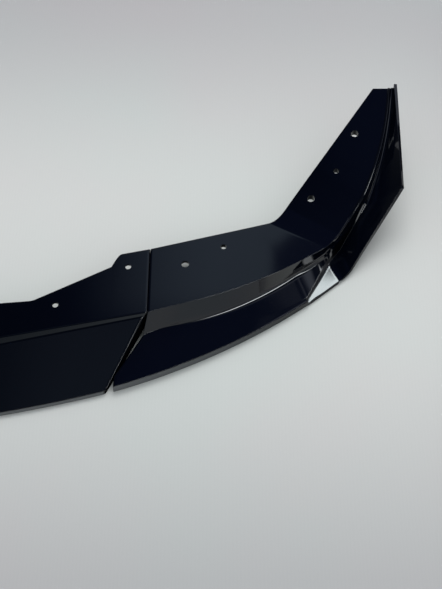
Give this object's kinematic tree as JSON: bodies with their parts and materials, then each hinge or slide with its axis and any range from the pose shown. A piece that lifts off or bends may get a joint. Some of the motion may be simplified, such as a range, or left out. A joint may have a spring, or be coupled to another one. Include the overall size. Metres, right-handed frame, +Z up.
{
  "type": "front splitter lip",
  "caption": "Wide swept front splitter lip for a car: a low flat centre section with a mounting flange, and mirrored wings that rise at the rear and end in upturned fins.",
  "frame": {"origin": "on the ground under the middle of the bounding box, half way across the lip and half way from its front edge to its wing tips", "axes": "+X across the car towards the left wing (the car looks along -Y), +Y from the front edge to the wing tips, +Z up"},
  "size_m": [1.7174, 0.5148, 0.0999],
  "materials": {
    "gloss_black": "gloss"
  },
  "bodies": {
    "root": {"centre_section": "gloss_black", "left_wing": "gloss_black", "right_wing": "gloss_black"}
  },
  "joints": []
}
